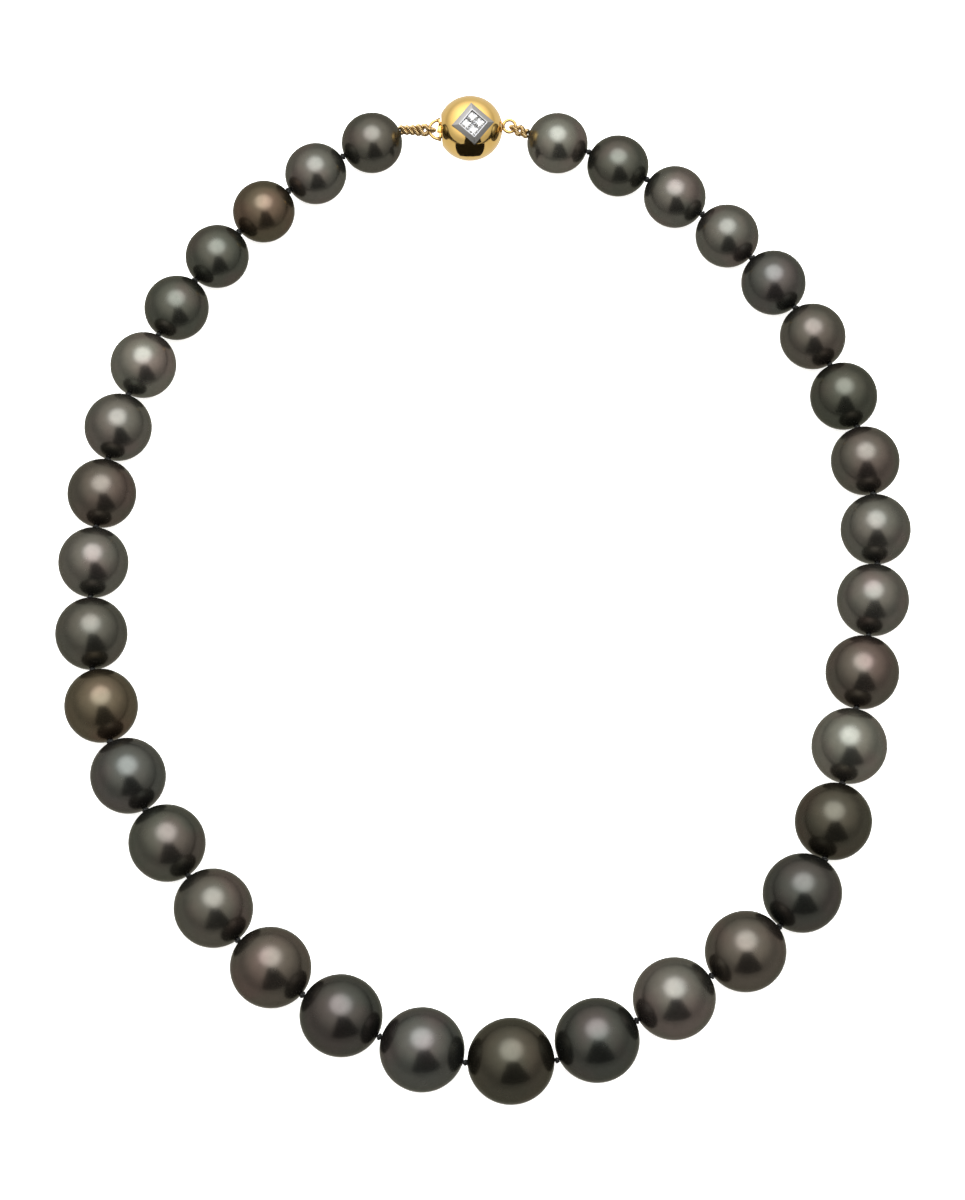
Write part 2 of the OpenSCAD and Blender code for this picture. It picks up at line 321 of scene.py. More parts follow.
def build_nacre():
    """Drifting overtones, rings round the drill hole, fine grain, and pits with painted shade in them, from
    the nacre attribute.
    """
    grey = (0.1, 0.1, 0.1, 1.0)
    tree, given, out = new_group(
        "nacre",
        {"Body": grey, "Overtone": grey, "Blush": grey, "Drift": 0.0, "Rings": 0.3, "Pits": 0.3},
        {"Color": "NodeSocketColor", "Roughness": "NodeSocketFloat", "Height": "NodeSocketFloat"})
    spot = new_node(tree, "ShaderNodeAttribute", attribute_name="nacre").outputs["Vector"]
    drift = given.outputs["Drift"]

    def here(scale, detail, shift):
        return cloud(tree, spot, scale, detail, maths(tree, "ADD", drift, shift))

    over = ramp(tree, here(0.9, 1.0, 0.0), 0.38, 0.62)
    blush = ramp(tree, here(0.8, 1.0, 7.0), 0.45, 0.70)
    colour = mix_colour(tree, over, given.outputs["Body"], given.outputs["Overtone"])
    colour = mix_colour(tree, blush, colour, given.outputs["Blush"])
    shade = new_node(tree, "ShaderNodeCombineColor")
    mottle = ramp(tree, here(6.0, 4.0, 3.0), 0.0, 1.0, 0.84, 1.16, smooth=False)
    for socket in shade.inputs[:3]:
        feed(tree, socket, mottle)
    colour = mix_colour(tree, 1.0, colour, shade.outputs[0], "MULTIPLY")

    parts = new_node(tree, "ShaderNodeSeparateXYZ")
    feed(tree, parts.inputs[0], spot)
    level = maths(tree, "ADD", parts.outputs[2], maths(tree, "MULTIPLY", here(2.0, 1.0, 5.0), 0.25))
    ring = maths(tree, "SINE", maths(tree, "MULTIPLY", level, 42.0))
    ring = maths(tree, "MULTIPLY", ring, given.outputs["Rings"])
    ring = maths(tree, "MULTIPLY", ring, ramp(tree, here(1.2, 0.0, 11.0), 0.50, 0.66))
    grain = maths(tree, "MULTIPLY", here(38.0, 3.0, 2.0), 0.5)
    spots = new_node(tree, "ShaderNodeTexVoronoi", voronoi_dimensions="4D")
    spots.inputs["Scale"].default_value = 5.5
    feed(tree, spots.inputs["Vector"], spot)
    feed(tree, spots.inputs["W"], drift)
    pit = ramp(tree, spots.outputs["Distance"], 0.04, 0.14, 1.0, 0.0)
    pit = maths(tree, "MULTIPLY", pit, ramp(tree, here(1.7, 0.0, 17.0), 0.55, 0.62))
    pit = maths(tree, "MULTIPLY", pit, given.outputs["Pits"])
    height = maths(tree, "SUBTRACT", maths(tree, "ADD", ring, grain), maths(tree, "MULTIPLY", pit, 6.0))
    # Painted shade: the pits are darkened in colour towards near-black, for the shade that falls in them.
    colour = mix_colour(tree, maths(tree, "MULTIPLY", pit, 0.5), colour, (0.02, 0.018, 0.015, 1))

    feed(tree, out.inputs["Color"], colour)
    feed(tree, out.inputs["Roughness"], ramp(tree, here(3.0, 2.0, 9.0), 0.0, 1.0, 0.18, 0.32, smooth=False))
    feed(tree, out.inputs["Height"], height)
    return tree


def new_material(name, group, constants, **given):
    """A material whose group feeds the shader's colour, roughness and bump, with constants on the shader."""
    material = bpy.data.materials.new(name)
    material.use_nodes = True
    tree = material.node_tree
    shader = tree.nodes["Principled BSDF"]
    pattern = new_node(tree, "ShaderNodeGroup", node_tree=group)
    for label, value in given.items():
        pattern.inputs[label].default_value = value
    feed(tree, shader.inputs["Base Color"], pattern.outputs["Color"])
    feed(tree, shader.inputs["Roughness"], pattern.outputs["Roughness"])
    bump = new_node(tree, "ShaderNodeBump")
    bump.inputs["Strength"].default_value = 0.12
    bump.inputs["Distance"].default_value = 0.02 * MM
    feed(tree, bump.inputs["Height"], pattern.outputs["Height"])
    feed(tree, shader.inputs["Normal"], bump.outputs["Normal"])
    for label, value in constants.items():
        shader.inputs[label].default_value = value
    return material


nacre_group = build_nacre()

# Body colour of each kind of pearl, and how its overtone and blush differ from it
TONES = {
    "pewter": (0.070, 0.065, 0.055),
    "dove": (0.085, 0.080, 0.070),
    "silver": (0.110, 0.105, 0.090),
    "slate": (0.045, 0.045, 0.040),
    "steel": (0.060, 0.060, 0.055),
    "olive": (0.060, 0.060, 0.050),
    "moss": (0.050, 0.050, 0.040),
    "mauve": (0.070, 0.060, 0.050),
    "bronze": (0.075, 0.060, 0.040),
    "umber": (0.045, 0.040, 0.030),
}
OVERTONE = (0.90, 0.95, 0.95)
BLUSH = (1.10, 0.95, 1.00)
DRIFT_STEP = 1.37


def tinted(colour, tint):
    return (*[c * t for c, t in zip(colour, tint)], 1.0)


# The tone of each pearl, from the left of the clasp round to its right
RUN = ("pewter dove bronze olive olive silver dove mauve dove pewter bronze steel olive pewter mauve "
       "slate steel umber slate dove mauve slate umber silver mauve dove dove pewter moss pewter "
       "steel dove dove olive silver").split()
LUSTRE = {"Metallic": 0.92, "Specular Tint": (0.45, 0.45, 0.42, 1.0), "Coat Weight": 0.10,
          "Coat Roughness": 0.12}

for i in range(1, PEARLS + 1):
    centre, radius = pearl_round(i)
    along = pearl_heading(i)
    up = Vector((0, 0, 1))
    shape = pearl_shape(radius, i)
    bmesh.ops.transform(shape, matrix=place(centre, up.cross(along), up, along), verts=shape.verts)
    node = f"pearl_{i:02d}"
    tone = TONES[RUN[i - 1]]
    material = new_material(node, nacre_group, LUSTRE, Body=(*tone, 1.0),
                            Overtone=tinted(tone, OVERTONE), Blush=tinted(tone, BLUSH),
                            Drift=DRIFT_STEP * i, Rings=0.35 if i % 3 == 0 else 0.10,
                            Pits=0.75 if i % 4 == 1 else 0.25)
    piece = finish_piece(f"nacre_{i:02d}", shape, body_of_pearl(i), material)
    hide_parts(node)

# ---- Silk -----------------------------------------------------------------------------------
# One black silk thread runs through every pearl, with an overhand knot drawn up tight in each
# gap, so that the pearls neither rub nor scatter. It is shown in lengths, each from the middle of
# one pearl to the middle of the next, which bend at the knot between them.
THREAD_R = 0.22 * MM
KNOT_WRAP_R = 0.30 * MM
KNOT_HALF = 0.36 * MM


def smooth(share):
    share = min(max(share, 0.0), 1.0)
    return share * share * (3 - 2 * share)


def tube(path, radius, sides):
    """A tube along points. Its strand layer holds the millimetres run, and the cosine and sine round it."""
    shape = bmesh.new()
    strand = shape.verts.layers.float_vector.new("strand")
    side = (path[1] - path[0]).orthogonal().normalized()
    run = 0.0
    rings = []
    for k, point in enumerate(path):
        before = path[max(k - 1, 0)]
        way = (path[min(k + 1, len(path) - 1)] - before).normalized()
        side = (side - side.dot(way) * way).normalized()
        across = way.cross(side)
        run += (point - before).length
        ring = []
        for s in range(sides):
            turn = 2 * math.pi * s / sides
            vert = shape.verts.new(point + radius * (math.cos(turn) * side + math.sin(turn) * across))
            vert[strand] = (run / MM, math.cos(turn), math.sin(turn))
            ring.append(vert)
        rings.append(ring)
    for ring, following in zip(rings, rings[1:]):
        for s in range(sides):
            t = (s + 1) % sides
            shape.faces.new((ring[s], ring[t], following[t], following[s]))
    shape.faces.new(rings[0][::-1])
    shape.faces.new(rings[-1])
    return shape


def knot_path(start, pivot, end, seed):
    """From start to end, with a knot of three lobes and two wraps round the pivot."""
    into = (pivot - start).normalized()
    out_of = (end - pivot).normalized()
    along = (into + out_of).normalized()
    side = along.orthogonal().normalized()
    side.rotate(Matrix.Rotation(2.4 * seed, 3, along))
    across = along.cross(side)
    entry = pivot - KNOT_HALF * into
    path = [start + (entry - start) * k / 12 for k in range(12)]
    for k in range(73):
        t = k / 72
        fade = smooth(9 * t) * smooth(9 * (1 - t))
        wrap = 4 * math.pi * t
        lobe = 6 * math.pi * t
        reach = (KNOT_WRAP_R + 0.12 * MM * math.cos(lobe)) * fade
        rise = (0.26 * (t - 0.5) + 0.07 * math.sin(lobe) * fade) * MM
        middle = pivot + rise * along + (1 - fade) * (t - 0.5) * KNOT_HALF * along
        path.append(middle + reach * (math.cos(wrap) * side + math.sin(wrap) * across))
    leave = pivot + KNOT_HALF * out_of
    path += [leave + (end - leave) * k / 12 for k in range(1, 13)]
    return path


def build_silk_group():
    """Black silk of three plies: the twist of the plies, with fine fibres over it, and painted shade
    darkening the grooves between the plies.
    """
    tree, given, out = new_group(
        "silk_twist", {"Dye": (0.1, 0.1, 0.1, 1.0), "Plies": 3.0, "Lay": 2.2},
        {"Color": "NodeSocketColor", "Roughness": "NodeSocketFloat", "Height": "NodeSocketFloat"})
    strand = new_node(tree, "ShaderNodeAttribute", attribute_name="strand").outputs["Vector"]
    parts = new_node(tree, "ShaderNodeSeparateXYZ")
    feed(tree, parts.inputs[0], strand)
    turn = maths(tree, "ARCTAN2", parts.outputs[2], parts.outputs[1])
    run = maths(tree, "MULTIPLY", parts.outputs[0], given.outputs["Lay"])
    phase = maths(tree, "MULTIPLY", maths(tree, "ADD", turn, run), given.outputs["Plies"])
    ply = maths(tree, "ABSOLUTE", maths(tree, "SINE", maths(tree, "MULTIPLY", phase, 0.5)))
    fibre = cloud(tree, strand, 9.0, 3.0)
    height = maths(tree, "ADD", ply, maths(tree, "MULTIPLY", fibre, 0.35))
    # Painted shade: the grooves between the plies are darkened in colour, multiplied into the dye.
    painted_groove_shade = ramp(tree, ply, 0.0, 0.6, 0.45, 1.0)
    shade = new_node(tree, "ShaderNodeCombineColor")
    for socket in shade.inputs[:3]:
        feed(tree, socket, painted_groove_shade)
    dye_and_painted_groove_shade = mix_colour(tree, 1.0, given.outputs["Dye"], shade.outputs[0], "MULTIPLY")
    feed(tree, out.inputs["Color"], dye_and_painted_groove_shade)
    feed(tree, out.inputs["Roughness"], ramp(tree, fibre, 0.3, 0.7, 0.42, 0.60))
    feed(tree, out.inputs["Height"], height)
    return tree


silk = new_material("black_silk", build_silk_group(),
                    {"Sheen Weight": 0.05, "Sheen Roughness": 0.4, "Specular IOR Level": 0.25},
                    Dye=(0.006, 0.006, 0.006, 1.0))

for i in range(1, PEARLS):
    pivot = knot_pivot(i)
    start = pearl_round(i)[0]
    end = pearl_round(i + 1)[0]
    if i == 1:
        start = start - pearl_round(i)[1] * pearl_heading(i)
    if i + 1 == PEARLS:
        end = end + pearl_round(i + 1)[1] * pearl_heading(i + 1)
    shape = tube(knot_path(start, pivot, end, i), THREAD_R, 10)
    piece = finish_piece(f"silk_{i:02d}_{i + 1:02d}", shape, None, silk)
    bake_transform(piece)
    if i == 1:
        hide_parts("silk_thread")

# ---- Gimps ----------------------------------------------------------------------------------
# At each end the silk passes through a gimp, a close coil of fine gold wire that guards it from
# the metal. The gimp goes round the ring, and its two legs are twisted together up to the pearl.
GIMP_WIRE_R = 0.09 * MM
GIMP_COIL_R = 0.34 * MM
GIMP_PITCH = 0.20 * MM
GIMP_BEND_R = 0.70 * MM
GIMP_PAIR_R = 0.44 * MM
GIMP_LAY = 1.9 * MM
GIMP_CLEAR = 0.16 * MM

joint_named = {j["name"]: j for j in frame["joints"]}
clasp_x = -Vector(joint_named["tongue_pull"]["axis"])
clasp_y = -Vector(joint_named["spring_press"]["axis"])
clasp_z = clasp_x.cross(clasp_y)


def gimp_path(eye, mouth):
    """The middle line of a gimp: down one leg, round the wire at the eye, and back up the other."""
    reach = mouth - eye
    along = reach.normalized()
    across = (clasp_z - clasp_z.dot(along) * along).normalized()
    third = along.cross(across)
    length = reach.length - GIMP_CLEAR
    steps = int(length / (0.05 * MM))
    leg = []
    for k in range(steps + 1):
        s = length * k / steps
        part = GIMP_BEND_R + (GIMP_PAIR_R - GIMP_BEND_R) * smooth((s / length - 0.2) / 0.5)
        turn = math.pi / 2 * smooth(s / MM) + 2 * math.pi * max(s - MM, 0.0) / GIMP_LAY
        leg.append((s, part, turn))
    first = [eye + s * along + part * (math.cos(t) * across + math.sin(t) * third) for s, part, t in leg]
    second = [eye + s * along - part * (math.cos(t) * across + math.sin(t) * third) for s, part, t in leg]
    bend = []
    for k in range(1, 24):
        t = math.pi * k / 24
        bend.append(eye + GIMP_BEND_R * (math.cos(t) * across - math.sin(t) * along))
    return first[::-1] + bend + second


def wound(path, radius, pitch, per_turn):
    """Points of a coil wound round a path."""
    side = (path[1] - path[0]).orthogonal().normalized()
    run = 0.0
    next_stop = 0.0
    coil = []
    for here, following in zip(path, path[1:]):
        way = (following - here).normalized()
        side = (side - side.dot(way) * way).normalized()
        across = way.cross(side)
        length = (following - here).length
        while next_stop <= run + length:
            turn = 2 * math.pi * next_stop / pitch
            ring = radius * (math.cos(turn) * side + math.sin(turn) * across)
            coil.append(here + (next_stop - run) * way + ring)
            next_stop += pitch / per_turn
        run += length
    return coil


def build_polish_group():
    """Polished metal: fine hairlines in all directions, faint smudges, and small shifts of colour."""
    tree, given, out = new_group(
        "polish", {"Metal": (0.8, 0.8, 0.8, 1.0), "Gloss": 0.12, "Haze": 0.06, "Grain": 900.0},
        {"Color": "NodeSocketColor", "Roughness": "NodeSocketFloat", "Height": "NodeSocketFloat"})
    spot = new_node(tree, "ShaderNodeTexCoord").outputs["Object"]
    smudge = cloud(tree, spot, 420.0, 2.0)
    stretch = new_node(tree, "ShaderNodeMapping")
    stretch.inputs["Scale"].default_value = (1.0, 0.08, 1.0)
    stretch.inputs["Rotation"].default_value = (0.4, 0.2, 0.9)
    feed(tree, stretch.inputs["Vector"], spot)
    hairs = new_node(tree, "ShaderNodeTexNoise")
    hairs.inputs["Detail"].default_value = 2.0
    feed(tree, hairs.inputs["Vector"], stretch.outputs[0])
    feed(tree, hairs.inputs["Scale"], maths(tree, "MULTIPLY", given.outputs["Grain"], 6.0))
    warm = mix_colour(tree, 1.0, given.outputs["Metal"], (0.90, 0.86, 0.80, 1.0), "MULTIPLY")
    colour = mix_colour(tree, ramp(tree, smudge, 0.35, 0.75, 0.0, 0.6), given.outputs["Metal"], warm)
    haze = maths(tree, "MULTIPLY", ramp(tree, smudge, 0.4, 0.7), given.outputs["Haze"])
    feed(tree, out.inputs["Color"], colour)
    feed(tree, out.inputs["Roughness"], maths(tree, "ADD", given.outputs["Gloss"], haze))
    feed(tree, out.inputs["Height"], hairs.outputs["Fac"])
    return tree


polish_group = build_polish_group()
METAL = {"Metallic": 1.0}
YELLOW = (0.80, 0.55, 0.20, 1.0)
GIMP_SILK_R = 0.17 * MM
gimp_gold = new_material("gimp_gold", polish_group, METAL, Metal=(0.50, 0.36, 0.18, 1.0), Gloss=0.25)


def build_gimp(side, eye, mouth):
    path = gimp_path(eye, mouth)
    coil = finish_piece(f"gimp_coil_{side}", tube(wound(path, GIMP_COIL_R, GIMP_PITCH, 14), GIMP_WIRE_R, 8),
                        f"gimp_{side}", gimp_gold)
    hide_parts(f"gimp_{side}")
    finish_piece(f"silk_in_gimp_{side}", tube(path[::2] + path[-1:], GIMP_SILK_R, 8),
                 f"gimp_{side}", silk)


ring_eye = Vector(joint_named["ball_swing"]["pos_m"])
bail_eye = Vector(joint_named["gimp_left_swing"]["pos_m"])
build_gimp("right", ring_eye, pearl_round(PEARLS)[0] + pearl_round(PEARLS)[1] * pearl_heading(PEARLS))
build_gimp("left", bail_eye, pearl_round(1)[0] - pearl_round(1)[1] * pearl_heading(1))

# ---- Ball -----------------------------------------------------------------------------------
# A hollow polished ball of yellow gold, pressed as two half shells and soldered together. A flat
# face with a slot closes its mouth, and behind it a rectangular guide takes the tongue.
BALL_WALL = 0.45 * MM
MOUTH_X = 4.75 * MM
FACE_R = 2.2 * MM
FACE_T = 0.5 * MM
SLOT_W = 3.0 * MM
SLOT_LOW = -0.85 * MM
SLOT_HIGH = 0.95 * MM
GUIDE_END = 3.2 * MM
GUIDE_W = 3.2 * MM
GUIDE_H = 2.0 * MM
GUIDE_WALL = 0.25 * MM
SETTING_TURN_DEG = 2.0
SETTING_LEAN_DEG = 5.0
SETTING_SIDE = 5.0 * MM
SETTING_FOOT = 3.9 * MM

upper_low, upper_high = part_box("ball_upper")
lower_low, lower_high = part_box("ball_lower")
ball_r = (lower_high.y - upper_low.y) / 2
ball_centre = Vector((upper_high.x - ball_r, (lower_high.y + upper_low.y) / 2, lower_low.z + ball_r))
in_clasp = place(ball_centre, clasp_x, clasp_y, clasp_z)
# Outlines turned about, or drawn across, the clasp's own axis, and outlines drawn along it
about_axis = place(ball_centre, clasp_y, clasp_z, clasp_x)
side_view = place(ball_centre, clasp_x, clasp_z, -clasp_y)
in_setting = in_clasp @ Matrix.Rotation(math.radians(SETTING_LEAN_DEG), 4, "Y")
in_setting = in_setting @ Matrix.Rotation(math.radians(SETTING_TURN_DEG), 4, "Z")


def slab(outline, low, high):
    """A prism on an outline of (x, y) points, from z = low to z = high."""
    shape = bmesh.new()
    base = [shape.verts.new((x, y, low)) for x, y in outline]
    top = [shape.verts.new((x, y, high)) for x, y in outline]
    shape.faces.new(base)
    shape.faces.new(top)
    for k in range(len(outline)):
        n = (k + 1) % len(outline)
        shape.faces.new((base[k], base[n], top[n], top[k]))
    bmesh.ops.recalc_face_normals(shape, faces=shape.faces)
    return shape


def rounded(corners, radius, steps=4):
    """An outline with its corners rounded."""
    points = []
    for k, corner in enumerate(corners):
        here = Vector(corner)
        to_last = (Vector(corners[k - 1]) - here).normalized()
        to_next = (Vector(corners[(k + 1) % len(corners)]) - here).normalized()
        half = to_last.angle(to_next) / 2
        reach = radius / math.tan(half)
        start = here + reach * to_last
        middle = here + (radius / math.sin(half)) * (to_last + to_next).normalized()
        sweep = math.copysign(math.pi - 2 * half, -to_last.cross(to_next))
        for s in range(steps + 1):
            points.append(tuple(middle + Matrix.Rotation(sweep * s / steps, 2) @ (start - middle)))
    return points


def box_outline(width, low, high):
    return [(-width / 2, low), (width / 2, low), (width / 2, high), (-width / 2, high)]


def soften(shape, width, above=30.0, segments=2):
    """Rounds the edges that are sharper than an angle in degrees."""
    sharp = [e for e in shape.edges if e.is_manifold and e.calc_face_angle() > math.radians(above)]
    bmesh.ops.bevel(shape, geom=sharp, offset=width, offset_type="OFFSET", affect="EDGES",
                    segments=segments, profile=0.5, clamp_overlap=True, material=-1)
    return shape


def carve(*shapes):
    """The first shape with the others cut out of it."""
    blocks = []
    for shape in shapes:
        mesh = bpy.data.meshes.new("carving")
        shape.to_mesh(mesh)
        shape.free()
        blocks.append(bpy.data.objects.new("carving", mesh))
        bpy.context.scene.collection.objects.link(blocks[-1])
    for cutter in blocks[1:]:
        cut = blocks[0].modifiers.new("cut", "BOOLEAN")
        cut.operation = "DIFFERENCE"
        cut.solver = "EXACT"
        cut.object = cutter
    bpy.context.view_layer.update()
    result = bmesh.new()
    result.from_object(blocks[0], bpy.context.evaluated_depsgraph_get())
    for block in blocks:
        bpy.data.meshes.remove(block.data)
    return result


def moved(shape, matrix):
    bmesh.ops.transform(shape, matrix=matrix, verts=shape.verts)
    return shape


def square_block(outline, steps=4):
    """A square solid about Z, corners on X and Y, from (side, height) points."""
    return spun([(side / math.sqrt(2), h) for side, h in outline], steps)


def half_shell():
    """Half of the ball's wall about Z, with its mouth below, on the +Y side."""
    mouth = -math.degrees(math.asin(MOUTH_X / ball_r))
    inner_r = ball_r - BALL_WALL
    mouth_inside = -math.degrees(math.acos(FACE_R / inner_r))
    outline = [(ball_r * math.cos(math.radians(mouth)) - 0.05 * MM, -MOUTH_X)]
    outline += arc((0, 0), ball_r, mouth + 0.8, 90, 96)
    outline += arc((0, 0), inner_r, 90, mouth_inside, 40)
    outline += [(FACE_R, -MOUTH_X)]
    shape = bmesh.new()
    verts = [shape.verts.new((max(r, 0.0), 0.0, h)) for r, h in outline]
    edges = [shape.edges.new((verts[k - 1], verts[k])) for k in range(len(verts))]
    bmesh.ops.spin(shape, geom=verts + edges, cent=(0, 0, 0), axis=(0, 0, 1), angle=math.pi, steps=96)
    for way in (1, -1):
        rim = [Vector((way * max(r, 0.0), 0.0, h)) for r, h in outline]
        shape.faces.new([shape.verts.new(point) for point in rim])
    bmesh.ops.remove_doubles(shape, verts=shape.verts, dist=1e-7)
    bmesh.ops.recalc_face_normals(shape, faces=shape.faces)
    return shape


yellow_gold = new_material("yellow_gold", polish_group, METAL, Metal=YELLOW, Gloss=0.07, Haze=0.05)
inner_gold = new_material("inner_gold", polish_group, METAL, Metal=YELLOW, Gloss=0.22, Haze=0.12)
# Painted shade: this is the ball's yellow gold again at about half its brightness, darkening the reflections
# on the ring, bail, solder and end plate.
wire_gold_painted_darker = new_material("wire_gold_painted_darker", polish_group, METAL, Metal=(0.40, 0.26, 0.10, 1.0), Gloss=0.30)

hole = square_block([(0, SETTING_FOOT), (SETTING_SIDE, SETTING_FOOT), (SETTING_SIDE, 7 * MM), (0, 7 * MM)])
upper = carve(moved(half_shell(), about_axis), moved(hole, in_setting))
piece = finish_piece("ball_upper_shell", upper, "clasp_ball", yellow_gold, 30)
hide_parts("ball_upper")
turned = about_axis @ Matrix.Rotation(math.pi, 4, "Z")
piece = finish_piece("ball_lower_shell", moved(half_shell(), turned), "clasp_ball",
                     yellow_gold, 30)
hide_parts("ball_lower")

face = spun([(0, -MOUTH_X), (FACE_R, -MOUTH_X), (FACE_R, FACE_T - MOUTH_X), (0, FACE_T - MOUTH_X)], 64)
slot = slab(rounded(box_outline(SLOT_W, SLOT_LOW, SLOT_HIGH), 0.2 * MM), -6 * MM, -3 * MM)
face = soften(carve(face, slot), 0.05 * MM)
piece = finish_piece("ball_mouth_face", moved(face, about_axis), "clasp_ball",
                     yellow_gold, 30)
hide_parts("ball_face")

guide_start = FACE_T - MOUTH_X
outside = box_outline(GUIDE_W + 2 * GUIDE_WALL, -GUIDE_H / 2 - GUIDE_WALL, GUIDE_H / 2 + GUIDE_WALL)
inside = box_outline(GUIDE_W, -GUIDE_H / 2, GUIDE_H / 2)
guide = carve(slab(rounded(outside, 0.3 * MM), guide_start, GUIDE_END),
              slab(rounded(inside, 0.15 * MM), guide_start - MM, GUIDE_END + MM))
piece = finish_piece("tongue_channel", moved(guide, about_axis), "clasp_ball",
                     inner_gold, 30)
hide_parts("tongue_guide")

# ---- Ring -----------------------------------------------------------------------------------
# A ring of round gold wire, closed and soldered to the ball opposite its mouth, with the solder
# drawn up into a small collar.
WIRE_R = 0.275 * MM
RING_R = 1.02 * MM

ring_x = ball_r + RING_R + 0.13 * MM
ring = moved(spun(arc((RING_R, 0), WIRE_R, 0, 345, 23), 72), in_clasp @ Matrix.Translation((ring_x, 0, 0)))
piece = finish_piece("ring_wire", ring, "clasp_ball", wire_gold_painted_darker)
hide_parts("ball_ring")
collar = [(0, 5.25), (0.66, 5.36), (0.60, 5.42), (0.48, 5.48), (0.40, 5.58), (0.34, 5.72), (0, 5.74)]
collar = moved(spun([(r * MM, h * MM) for r, h in collar], 40), about_axis)
finish_piece("ring_solder", collar, "clasp_ball", wire_gold_painted_darker, 50)

# ---- Setting --------------------------------------------------------------------------------
# A square white gold setting, let into the ball point-up. A wide satin border slopes up to a thin
# bright rim, which holds four princess-cut stones side by side over a pierced seat.
SETTING_EDGE = 5.0 * MM
SETTING_TOP = 5.42 * MM
RIM_TOP = 5.47 * MM
RIM_SIDE = 3.52 * MM
FIELD_SIDE = 3.1 * MM
SEAT_LOW = 4.2 * MM
SEAT_T = 0.3 * MM

white_gold = new_material("white_gold", polish_group, METAL, Metal=(0.26, 0.26, 0.27, 1.0), Gloss=0.26,
                          Haze=0.14, Grain=1600.0)
bezel = square_block([(SETTING_SIDE, SETTING_FOOT), (SETTING_SIDE, SETTING_EDGE), (RIM_SIDE, SETTING_TOP),
                      (RIM_SIDE - 0.04 * MM, RIM_TOP), (FIELD_SIDE + 0.08 * MM, RIM_TOP),
                      (FIELD_SIDE, RIM_TOP - 0.06 * MM), (FIELD_SIDE, SETTING_FOOT)])
piece = finish_piece("setting_border", moved(soften(bezel, 0.03 * MM, above=12), in_setting), "clasp_ball",
                     white_gold, 25)
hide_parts("setting_bezel")


def stone_place(q):
    """Where stone q stands in the setting's frame."""
    turn = Matrix.Rotation(math.radians(90 * q), 4, "Z")
    return turn @ Matrix.Translation((FIELD_SIDE / 4 * math.sqrt(2), 0, 0))


seat = square_block([(0, SEAT_LOW), (FIELD_SIDE, SEAT_LOW), (FIELD_SIDE, SEAT_LOW + SEAT_T),
                     (0, SEAT_LOW + SEAT_T)])
drill = [(0, SEAT_LOW - MM), (0.4 * MM, SEAT_LOW - MM), (0.4 * MM, SEAT_LOW + MM), (0, SEAT_LOW + MM)]
seat = carve(seat, *[moved(spun(drill, 24), stone_place(q)) for q in range(4)])
piece = finish_piece("setting_seat_plate", moved(seat, in_setting), "clasp_ball",
                     white_gold, 30)
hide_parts("setting_seat")

# ---- Stones ---------------------------------------------------------------------------------
# Four square princess-cut stones. Each has a table, two steps of crown facets, a thin girdle, and
# a pavilion of chevron facets that runs down to a point.
STONE_HALF = 0.735 * MM
CULET = 4.3 * MM
GIRDLE_LOW = 5.2 * MM
GIRDLE_HIGH = 5.28 * MM
CROWN_STEP = 5.35 * MM
TABLE = 5.40 * MM


def stone_shape():
    shape = bmesh.new()
    # The share of the girdle's half side at a corner and at mid side, at each height
    levels = [(0.97, 1.0, GIRDLE_LOW), (0.97, 1.0, GIRDLE_HIGH), (0.86, 0.88, CROWN_STEP),
              (0.66, 0.66, TABLE), (0.62, 0.70, 4.85 * MM), (0.26, 0.34, 4.5 * MM)]
    for corner, middle, h in levels:
        for q in range(4):
            turn = math.radians(90 * q)
            far = corner * STONE_HALF * math.sqrt(2)
            shape.verts.new((far * math.cos(turn), far * math.sin(turn), h))
            near = middle * STONE_HALF
            turn += math.radians(45)
            shape.verts.new((near * math.cos(turn), near * math.sin(turn), h))
    shape.verts.new((0, 0, CULET))
    bmesh.ops.convex_hull(shape, input=shape.verts)
    bmesh.ops.dissolve_limit(shape, angle_limit=math.radians(1), verts=shape.verts, edges=shape.edges)
    loose = [v for v in shape.verts if not v.link_faces]
    bmesh.ops.delete(shape, geom=loose, context="VERTS")
    bmesh.ops.recalc_face_normals(shape, faces=shape.faces)
    return shape


diamond = new_material("diamond", polish_group,
                       {"Transmission Weight": 1.0, "IOR": 1.8}, Metal=(0.60, 0.61, 0.64, 1.0),
                       Gloss=0.0, Haze=0.02)
for q in range(4):
    shape = moved(moved(stone_shape(), stone_place(q)), in_setting)
    piece = finish_piece(f"stone_{q + 1}", shape, "clasp_ball", diamond, 1)
    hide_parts(f"diamond_{q + 1}")

# ---- Tongue ---------------------------------------------------------------------------------
# A folded tongue of gold strip that slides into the ball. Its lower leaf carries an upright end
# plate, and a half-round bail of wire is soldered to that plate for the gimp.
TONGUE_W = 2.8 * MM
LEAF_LOW = -0.75 * MM
LEAF_T = 0.35 * MM
FOLD_X = 2.6 * MM
FOLD_R = 0.38 * MM
STRIP_T = 0.25 * MM
PLATE_X = -5.25 * MM
PLATE_T = 0.35 * MM
PLATE_R = 2.0 * MM
PLATE_HALF_H = 1.3 * MM
NOTCH_HALF_W = 0.75 * MM
BAIL_R = 1.55 * MM

leaf_top = LEAF_LOW + LEAF_T
fold_z = LEAF_LOW + FOLD_R
leaf = [(PLATE_X + PLATE_T, LEAF_LOW)] + arc((FOLD_X, fold_z), FOLD_R, -90, 90, 16)
leaf += arc((FOLD_X, fold_z), FOLD_R - STRIP_T, 90, -90, 10)
leaf += [(FOLD_X - 0.25 * MM, leaf_top), (PLATE_X + PLATE_T, leaf_top)]
leaf = soften(slab(leaf, -TONGUE_W / 2, TONGUE_W / 2), 0.05 * MM, above=40)
piece = finish_piece("tongue_lower_leaf", moved(leaf, side_view), "clasp_tongue",
                     yellow_gold, 30)
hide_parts("tongue_leaf")

